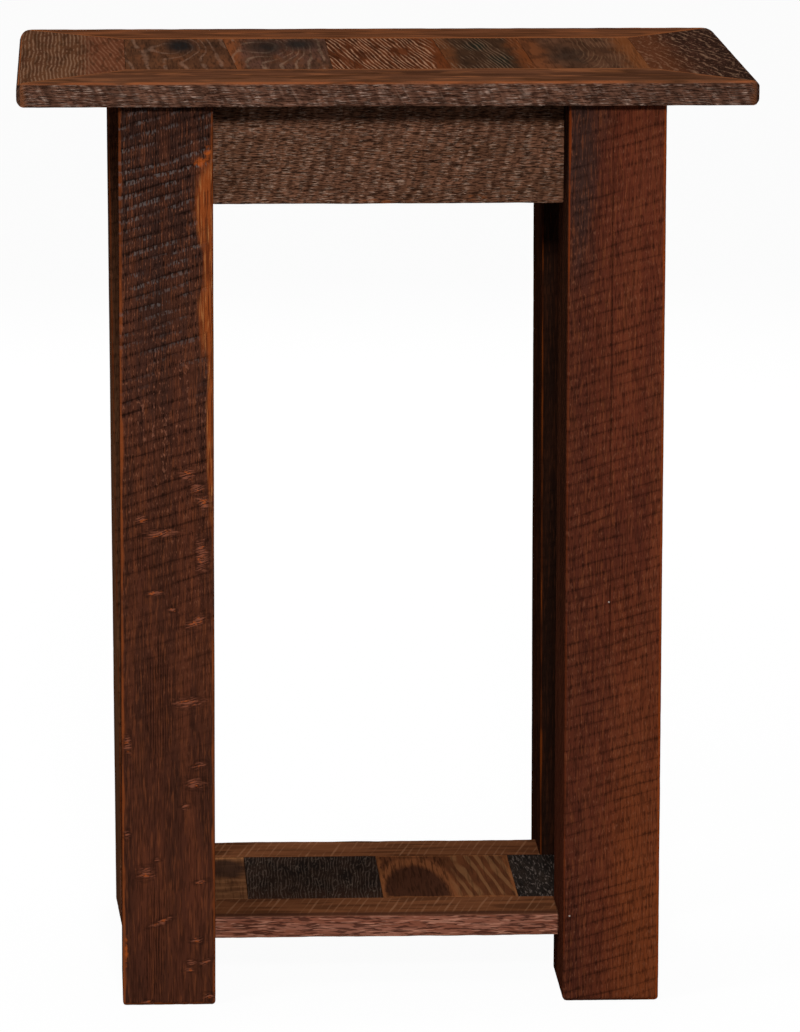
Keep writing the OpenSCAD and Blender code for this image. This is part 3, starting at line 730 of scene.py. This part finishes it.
for node, values in aprons.items():
    low, high = boxOf(node)
    if values["axis"] == 0:
        low[0], high[0] = innerLeft, innerRight
        grain = (0.03, 0.003, 0.003)
    else:
        low[1], high[1] = frontLegRear, rearLegFront
        grain = (0.003, 0.03, 0.003)
    wood = dict(values, groundSize=(90, 12), ground=("#734d3a", "#644230"), roughness=(0.45, 0.62))
    relief = {"Kerf Direction": (0.99, 0.99, 0.1), "Kerf Spacing": 0.007, "Kerf Depth": 0.0001,
        "Grain Cell": grain, "Grain Depth": 0.0003}
    board = dict(box=(low, high), cell=values["cell"],
        hidden=((values["axis"], 0), (values["axis"], 1), (2, 1)), radii=(1.8, 1.8, 0.5), relief=relief)
    makeBoard(node, board, "sawnOak", wood)
print("aprons made")

# Top

# Radii, cells and the height of the face in mm
slab = {"corner": 10.5, "rearCorner": (13, 45), "end": 6.0, "long": 1.2, "cell": (1.9, 1.9, 1.8)}
topFace = 762
slabEnvelope = (slabLow, slabHigh, (slab["long"], slab["end"], slab["corner"]))
# front and rear ends of the joints between blocks, which were laid a little out of square
jointLeans = [1, -1, 1, 1]      # 1 where the front end stands to the right, -1 to the left
topJoints = [(fieldLow[0], fieldLow[0])]
for lean, left, right in zip(jointLeans, topBlocks, topBlocks[1:]):
    ends = (boxOf(right)[0][0], boxOf(left)[1][0])
    topJoints.append(ends[::-lean])
topJoints.append((fieldHigh[0], fieldHigh[0]))


# Planed faces and sawn edges of reclaimed oak under a brown stain: the saw's short wavy streaks, with their
# painted highlights, stay on the edges, the faces show growth lines, and the arrises are rubbed through to
# orange
def edgeCoats(seed):
    return [
        stain(colour="#5f4032", on="side"),
        *sawnOak(seed, "#2a1912", "#957b6d", 1.4, on="side"),
        lines((26, 14), seed + 7, "#2e1d15", 0.4, (0.5, 1.1), on="side", spacing=17, bend=5, turn=80,
            vary=0.8, varySize=(20, 8)),
        lines((26, 14), seed + 9, "#8a6f60", 0.18, (0.95, 1.15), on="side", spacing=9, bend=3, turn=80,
            vary=0.9, varySize=(14, 8), height=0.1)]


topBands = {
    "top_front_band": dict(ends=(0, 1, (slabLow[0], fieldLow[0]), (slabHigh[0], fieldHigh[0])),
        hidden=((0, 0), (0, 1), (1, 1)), ground=("#6b432d", "#5c3926"), groundSize=(120, 9), seed=61,
        coats=[
            layer("y", (120, 20), 60, "#4c2d1e", 0.5, (-112, -124), waver=6,
                times=[layer("y", (120, 20), 59, sharp=(-165, -145), waver=6)]),
            streaks((70, 14), 64, "#38200f", 0.6, (0.5, 0.6), height=-0.1),
            streaks((30, 12), 65, "#8a5434", 0.45, (0.52, 0.64)),
            streaks((120, 22), 66, "#3b2418", 0.5, (0.48, 0.58)),
            streaks((60, 2.4), 54, "#2e1a10", 0.4, (0.5, 0.6), height=-0.1),
            layer("y", (60, 20), 67, "#83492a", 0.75, (-188, -194), waver=4,
                times=[streaks((30, 20), 68, sharp=(0.3, 0.6))]),
            *edgeCoats(400),
            layer("joint", (60, 30), 69, "#7d4a2c", 0.55, (4, 16))]),
    "top_rear_band": dict(ends=(0, 1, (fieldLow[0], slabLow[0]), (fieldHigh[0], slabHigh[0])),
        hidden=((0, 0), (0, 1), (1, 0)), ground=("#663d27", "#58331e"), groundSize=(140, 9), seed=62,
        coats=[
            streaks((80, 16), 70, "#3f2415", 0.6, (0.5, 0.6), height=-0.1),
            streaks((40, 14), 55, "#80492a", 0.5, (0.52, 0.64)),
            streaks((60, 2.4), 53, "#2e1a10", 0.4, (0.5, 0.6), height=-0.1),
            *edgeCoats(410),
            layer("arris", (30, 30), 71, "#a45a2c", 0.5, (0.8, 3.0),
                times=[streaks((26, 20), 72, sharp=(0.4, 0.6))]),
            layer("joint", (60, 30), 73, "#7f4929", 0.7, (6, 20))]),
    "top_left_band": dict(ends=(1, 0, (slabLow[1], fieldLow[1]), (slabHigh[1], fieldHigh[1])),
        hidden=((1, 0), (1, 1), (0, 1)), ground=("#553522", "#462a1c"), groundSize=(14, 120), seed=63,
        coats=[
            layer("x", (14, 60), 77, "#5c3220", 0.7, (-252, -232), waver=10),
            lines((70, 24), 74, "#8a6a53", 0.5, (0.3, 1.1), spacing=3.1, bend=1.6, turn=90, vary=0.5,
                varySize=(10, 3), height=0.1, times=[
                    streaks((7, 22), 75, sharp=(0.3, 0.5)),
                    layer("x", None, 58, sharp=(-232, -246), waver=8)]),
            lines((70, 20), 57, "#865c45", 0.4, (0.3, 1.1), spacing=3.9, bend=2.0, turn=95, vary=0.7,
                varySize=(8, 3), height=0.1, times=[
                    streaks((6, 20), 56, sharp=(0.34, 0.52)),
                    layer("x", None, 58, sharp=(-246, -232), waver=8)]),
            streaks((5, 50), 76, "#2c190d", 0.45, (0.5, 0.64), height=-0.1),
            *edgeCoats(420),
            layer("arris", (30, 30), 78, "#9c5226", 0.5, (0.8, 3.0))]),
    "top_right_band": dict(ends=(1, 0, (fieldLow[1], slabLow[1]), (fieldHigh[1], slabHigh[1])),
        hidden=((1, 0), (1, 1), (0, 0)), ground=("#3b231a", "#2d1b14"), groundSize=(14, 90), seed=64,
        coats=[
            layer("x", (20, 60), 85, "#2a1b15", 0.7, (258, 292), waver=10),
            lines((60, 26), 79, "#84654f", 0.6, (0.78, 1.04), spacing=9, bend=8, turn=99, vary=0.5,
                varySize=(9, 5), height=0.1, times=[streaks((7, 30), 80, sharp=(0.34, 0.54))]),
            streaks((3, 10), 83, "#1f130e", 0.6, (0.48, 0.6), height=-0.1),
            streaks((2, 9), 84, "#7b5a47", 0.5, (0.58, 0.7)),
            layer("x", None, 81, "#6a3a20", 0.4, (262, 230), waver=10),
            *edgeCoats(430),
            layer("arris", (30, 30), 82, "#9c5226", 0.5, (0.8, 3.0))]),
}
for node, values in topBands.items():
    low, high = slabLow.copy(), slabHigh.copy()
    axis, across = values["ends"][:2]
    if values["hidden"][2][1] == 1:
        high[across] = fieldLow[across]
    else:
        low[across] = fieldHigh[across]
    wood = dict(values, layout="flat", origin=slabHigh[2], roughness=(0.45, 0.6))
    relief = {"Kerf Direction": (0.99, 0.1, 0.0), "Kerf Spacing": 0.02, "Kerf Depth": 0.0001,
        "Grain Cell": (0.02, 0.003, 0.003) if axis == 0 else (0.003, 0.02, 0.003), "Grain Depth": 0.0001,
        "Wear Depth": 0.00025}
    board = dict(box=(low, high), cell=slab["cell"], ends=values["ends"], within=slabEnvelope,
        rearCorner=slab["rearCorner"], hidden=values["hidden"], relief=relief)
    makeBoard(node, board, "planedOak", wood)
print("top frame made")


# Spot in mm on a level face
def flatSpot(x, y, width, depth, face=topFace):
    return (x, y, face), (width, depth, 9)


# Blocks of old boards, each with its own figure, laid side by side in the field of the top: dark knots
# and pools of stain under thin pale wavy growth lines
fieldBlocks = {
    "top_field_block_1": dict(ground=("#533422", "#442a1c"), coats=[
        stain((10, 40), 99, "#281c15", 0.7, ragged=0.3, core=0.0,
            spots=[flatSpot(-190, 40, 14, 80), flatSpot(-135, 80, 16, 40)]),
        streaks((12, 90), 104, "#643b25", 0.5, (0.5, 0.64)),
        lines((120, 34), 102, "#80614f", 0.42, (0.76, 1.06), spacing=15, bend=6, turn=93, vary=0.3,
            varySize=(10, 20), height=0.08, knots=[((-163, 58), (36, 130), 2.4)],
            times=[streaks((12, 40), 103, sharp=(0.3, 0.5))]),
        stain((10, 40), 101, "#191919", 0.95, ragged=0.04, core=0.2, spots=[flatSpot(-162, 70, 21, 84)]),
        streaks((2.4, 26), 105, "#251710", 0.4, (0.52, 0.64), height=-0.1)]),
    "top_field_block_2": dict(ground=("#54372c", "#462e21"), coats=[
        layer("x", (14, 50), 98, "#703d20", 0.8, (-108, -119), waver=5),
        streaks((12, 90), 109, "#643b25", 0.4, (0.5, 0.64)),
        lines((120, 34), 107, "#836854", 0.45, (0.76, 1.06), spacing=12, bend=6, turn=90, vary=0.3,
            varySize=(10, 20), height=0.08, knots=[((-84, 52), (40, 140), 3.2)],
            times=[streaks((12, 40), 108, sharp=(0.3, 0.5))]),
        stain((10, 40), 106, "#1d1c1a", 0.9, ragged=0.05, core=0.1,
            spots=[flatSpot(-90, 60, 25, 84), flatSpot(-64, 76, 30, 70)]),
        streaks((2.4, 26), 100, "#251710", 0.4, (0.52, 0.64), height=-0.1)]),
    "top_field_block_3": dict(ground=("#5a2f1a", "#422112"), coats=[
        streaks((4, 90), 112, "#30150a", 0.65, (0.48, 0.62), turn=6, height=-0.1),
        layer("x", (20, 60), 113, "#5e3018", 0.8, (30, 56), waver=12),
        lines((110, 18), 110, "#a67d61", 0.65, (0.5, 1.05), spacing=3.7, bend=3.0, turn=95.5, vary=0.8,
            varySize=(12, 4), height=0.12, times=[
                layer("x", (14, 90), 97, sharp=(48, 38), waver=14),
                streaks((14, 80), 111, sharp=(0.36, 0.52))])]),
    "top_field_block_4": dict(ground=("#3c281b", "#302016"), coats=[
        layer("x", (14, 60), 114, "#5e351d", 0.8, (68, 54), waver=8),
        stain((10, 50), 115, "#1a1d16", 0.85, ragged=0.25, core=0.1,
            spots=[flatSpot(100, -40, 17, 60), flatSpot(86, 60, 16, 60)]),
        lines((80, 16), 116, "#6f5643", 0.55, (0.6, 1.0), spacing=3.6, bend=3, turn=95.5, vary=0.4,
            varySize=(40, 4), height=0.06, times=[streaks((16, 90), 117, sharp=(0.4, 0.56))]),
        layer("x", (14, 50), 118, "#70391a", 0.6, (106, 122), waver=8)]),
    "top_field_block_5": dict(ground=("#543727", "#452c1e"), coats=[
        layer("x", (14, 50), 119, "#6c3a1e", 0.6, (146, 128), waver=10),
        stain((12, 60), 120, "#28201a", 0.75, ragged=0.3, core=0.0, spots=[flatSpot(158, -10, 22, 120)]),
        streaks((10, 50), 124, "#2a1a12", 0.4, (0.5, 0.6)),
        lines((110, 24), 121, "#76573f", 0.38, (0.7, 1.05), spacing=4.2, bend=5, turn=86, vary=0.3,
            varySize=(20, 8), height=0.06, knots=[((176, 10), (34, 160), 2.5)], times=[
                layer("x", sharp=(160, 176), waver=8),
                streaks((22, 90), 122, sharp=(0.36, 0.52))]),
        layer("x", (14, 50), 123, "#74401f", 0.6, (192, 210), waver=8)]),
}
blockGrain = [
    streaks((2.0, 50), 92, "#1d120c", 0.3, (0.5, 0.62), height=-0.1),
    layer("joint", (14, 14), 91, "#2a150b", 0.15, (0.4, 1.4))]


# Lays blocks side by side between joints, each with the x of its front and of its rear end
def layBlocks(blocks, joints, cell, face, firstSeed):
    for i, (node, values) in enumerate(blocks.items()):
        wood = dict(values, layout="flat", origin=face, seed=firstSeed + i,
            coats=values["coats"] + blockGrain, groundSize=(16, 60), roughness=(0.45, 0.6))
        relief = {"Kerf Direction": (0.2, 0.98, 0.0), "Kerf Spacing": 0.013, "Kerf Depth": 0.00012,
            "Grain Cell": (0.003, 0.03, 0.003)}
        board = dict(box=boxOf(node), cell=cell, ends=(0, 1, joints[i], joints[i + 1]),
            hidden=((0, 0), (0, 1), (1, 0), (1, 1), (2, 0)), relief=relief)
        makeBoard(node, board, "oldBoard", wood)


layBlocks(fieldBlocks, topJoints, slab["cell"], slabHigh[2], firstSeed=80)
print("top field made")

# Shelf

# In mm: the left edging stands back by leftEnd, joints are the x between blocks
shelf = {"cell": (1.8, 1.8, 1.8), "radii": (1.2, 0.4, 0.4), "leftEnd": 1.5, "joints": (-110.5, 2.5, 115.5)}
shelfFace = 63.5
shelfLow, shelfTop = boxOf(*shelfBlocks)
shelfJoints = [(x, x) for x in (shelfLow[0], *shelf["joints"], shelfTop[0])]
shelfBands = {
    "shelf_front_band": dict(hidden=((0, 0), (0, 1), (1, 1)), seed=101),
    "shelf_rear_band": dict(hidden=((0, 0), (0, 1), (1, 0)), seed=102),
    "shelf_left_edging": dict(hidden=((1, 0), (1, 1), (0, 1)), seed=103),
    "shelf_right_edging": dict(hidden=((1, 0), (1, 1), (0, 0)), seed=104),
}
# Sawn red oak, stained brown on the faces and rubbed to a pinkish red-brown along its edges
redOak = [
    streaks((70, 10), 141, "#3f2415", 0.6, (0.5, 0.6), height=-0.1),
    lines((80, 30), 142, "#94694c", 0.4, (0.8, 1.25), spacing=6.5, bend=1.5, turn=77, vary=1.2,
        varySize=(60, 10)),
    stain(colour="#784736", on="side"),
    streaks((70, 6), 143, "#8f5f4e", 0.5, (0.45, 0.62), on="side"),
    streaks((12, 1.3), 144, "#3a1f18", 0.8, (0.51, 0.59), on="side", twist=0.4, height=-0.25),
    streaks((16, 1.5), 145, "#b9816a", 0.6, (0.53, 0.64), on="side", twist=0.4, height=0.1),
    layer("y", (30, 20), 146, "#3a2118", 0.8, (-119, -127), waver=2, on="top"),
    layer("arris", (14, 14), 149, "#9a6a54", 0.5, (1.4, 2.6), on="side"),
    layer("joint", (30, 30), 147, "#2a170f", 0.6, (0.6, 2.0))]
for node, values in shelfBands.items():
    low, high = boxOf(node)
    if node.endswith("band"):
        low[0], high[0] = innerLeft, innerRight
    if node == "shelf_left_edging":
        low[0] += shelf["leftEnd"]
    wood = dict(values, layout="flat", origin=shelfHigh[2], ground=("#6d4229", "#5f3822"), coats=redOak,
        groundSize=(90, 12), roughness=(0.45, 0.62))
    relief = {"Kerf Direction": (0.99, 0.1, 0.0), "Kerf Spacing": 0.016, "Kerf Depth": 0.0001,
        "Grain Cell": (0.02, 0.003, 0.003)}
    board = dict(box=(low, high), cell=shelf["cell"], radii=shelf["radii"], hidden=values["hidden"],
        relief=relief)
    makeBoard(node, board, "sawnRedOak", wood)

shelfField = {
    "shelf_field_block_1": dict(ground=("#6b452c", "#563622"), coats=[
        lines((40, 30), 151, "#8f6140", 0.3, (0.6, 1.0), spacing=22, bend=9, turn=3, vary=0.8),
        stain((20, 20), 163, "#33221a", 0.9, ragged=0.1, core=0.5,
            spots=[flatSpot(-128, 32, 24, 44, shelfFace)]),
        streaks((14, 9), 152, "#2a190f", 0.25, (0.5, 0.64), height=-0.1),
        layer("y", (20, 20), 0, "#94613c", 0.7, (62, 70), waver=4)]),
    "shelf_field_block_2": dict(ground=("#2a1e18", "#1b1512"), coats=[
        layer("y", (20, 40), 0, "#3a251b", 0.6, (-20, -80), waver=20),
        lines((60, 14), 153, "#5a4a40", 0.5, (0.5, 1.05), spacing=2.6, bend=2.8, turn=88, vary=0.7,
            varySize=(16, 3), height=0.15, times=[streaks((5, 22), 154, sharp=(0.36, 0.52))]),
        streaks((1.6, 9), 160, "#64554a", 0.4, (0.58, 0.68), turn=-8, twist=0.6, height=0.1)]),
    "shelf_field_block_3": dict(ground=("#5f3620", "#4c2b1a"), coats=[
        stain((8, 40), 161, "#7a482b", 0.8, ragged=0.04, core=0.88,
            spots=[flatSpot(33, -78, 38, 156, shelfFace)]),
        stain((8, 40), 161, "#3d2318", 0.95, ragged=0.04, core=0.82,
            spots=[flatSpot(32, -78, 31, 128, shelfFace)]),
        streaks((2.4, 36), 155, "#2b180e", 0.6, (0.5, 0.62), height=-0.1,
            times=[layer("x", sharp=(66, 58), waver=4)]),
        lines((110, 16), 157, "#7d5536", 0.65, (0.4, 0.8), spacing=9.5, bend=5, turn=96, vary=0.3,
            varySize=(40, 14), times=[
                layer("x", sharp=(60, 70), waver=6),
                streaks((20, 60), 156, sharp=(0.3, 0.5))]),
        layer("joint", (20, 20), 162, "#8f5631", 0.4, (2, 8))]),
    "shelf_field_block_4": dict(ground=("#2d2520", "#1d1917"), coats=[
        streaks((1.8, 13), 158, "#766860", 0.5, (0.54, 0.64), twist=0.8, height=0.15),
        streaks((1.8, 12), 159, "#100d0c", 0.6, (0.54, 0.64), turn=10, twist=0.8, height=-0.1)]),
}
layBlocks(shelfField, shelfJoints, shelf["cell"], shelfHigh[2], firstSeed=110)
print("shelf made")

# Pieces that stay as they are in the frame: plywood with pale layered edges, smooth yellow-brown planed
# pine, and pale, fine and even turned beech
innerWoods = {
    "birchPlywood": dict(nodes=("top_core_panel", "shelf_core_panel"), layout="flat",
        ground=("#b3966e", "#9c7f59"), groundSize=(90, 8), coats=[
            streaks((50, 2), 121, "#7d6142", 0.4, (0.5, 0.66)),
            lines(None, 122, "#6b4f34", 0.6, (0.4, 0.6), on="side", spacing=2.4, bend=0.1)]),
    "planedPine": dict(nodes=("front_cleat", "rear_cleat", "left_cleat", "right_cleat"), layout="rail",
        ground=("#85613e", "#6f4e31"), groundSize=(80, 8),
        coats=[lines((90, 14), 123, "#5a3b22", 0.5, (0.5, 0.95), spacing=4, bend=2)]),
    "turnedBeech": dict(nodes=("top_mitre_splines", "shelf_band_dowels", "shelf_core_dowels"),
        layout="rail", ground=("#cba97d", "#bb9567"), groundSize=(30, 4),
        coats=[streaks((6, 0.6), 124, "#9a744a", 0.5, (0.55, 0.66))]),
}


def finishNodes(nodes, material):
    for node in nodes:
        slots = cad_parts[node].data.materials
        slots.clear()
        slots.append(material)


for name, wood in innerWoods.items():
    finishNodes(wood["nodes"], woodMaterial(name, dict(wood, roughness=(0.55, 0.7))))


# Zinc-plated steel: bright, slightly mottled passivated plating, IOR left as it is for a metal
plating = {"tones": ("#8d8f92", "#b4b1a4"), "mottle": 900.0, "roughness": (0.28, 0.45)}      # mottle per m


def zincPlate(values):
    material, tree = emptyMaterial("zincPlatedSteel")
    add = partial(addNode, tree)
    mottle = add("TexNoise",
        {"Vector": add("TexCoord", out="Object"), "Scale": values["mottle"], "Detail": 2.0})
    grey, pale = (toLinear(tone) for tone in values["tones"])
    colour = add("Mix", {0: mottle, 6: grey, 7: pale}, 2, data_type="RGBA")
    rough = add("MapRange", [mottle, 0.0, 1.0, *values["roughness"]])
    add("OutputMaterial",
        [add("BsdfPrincipled", {"Base Color": colour, "Metallic": 1.0, "Roughness": rough})])
    return material


finishNodes(("top_fixing_screws", "cleat_screws"), zincPlate(plating))
print("inner pieces finished")
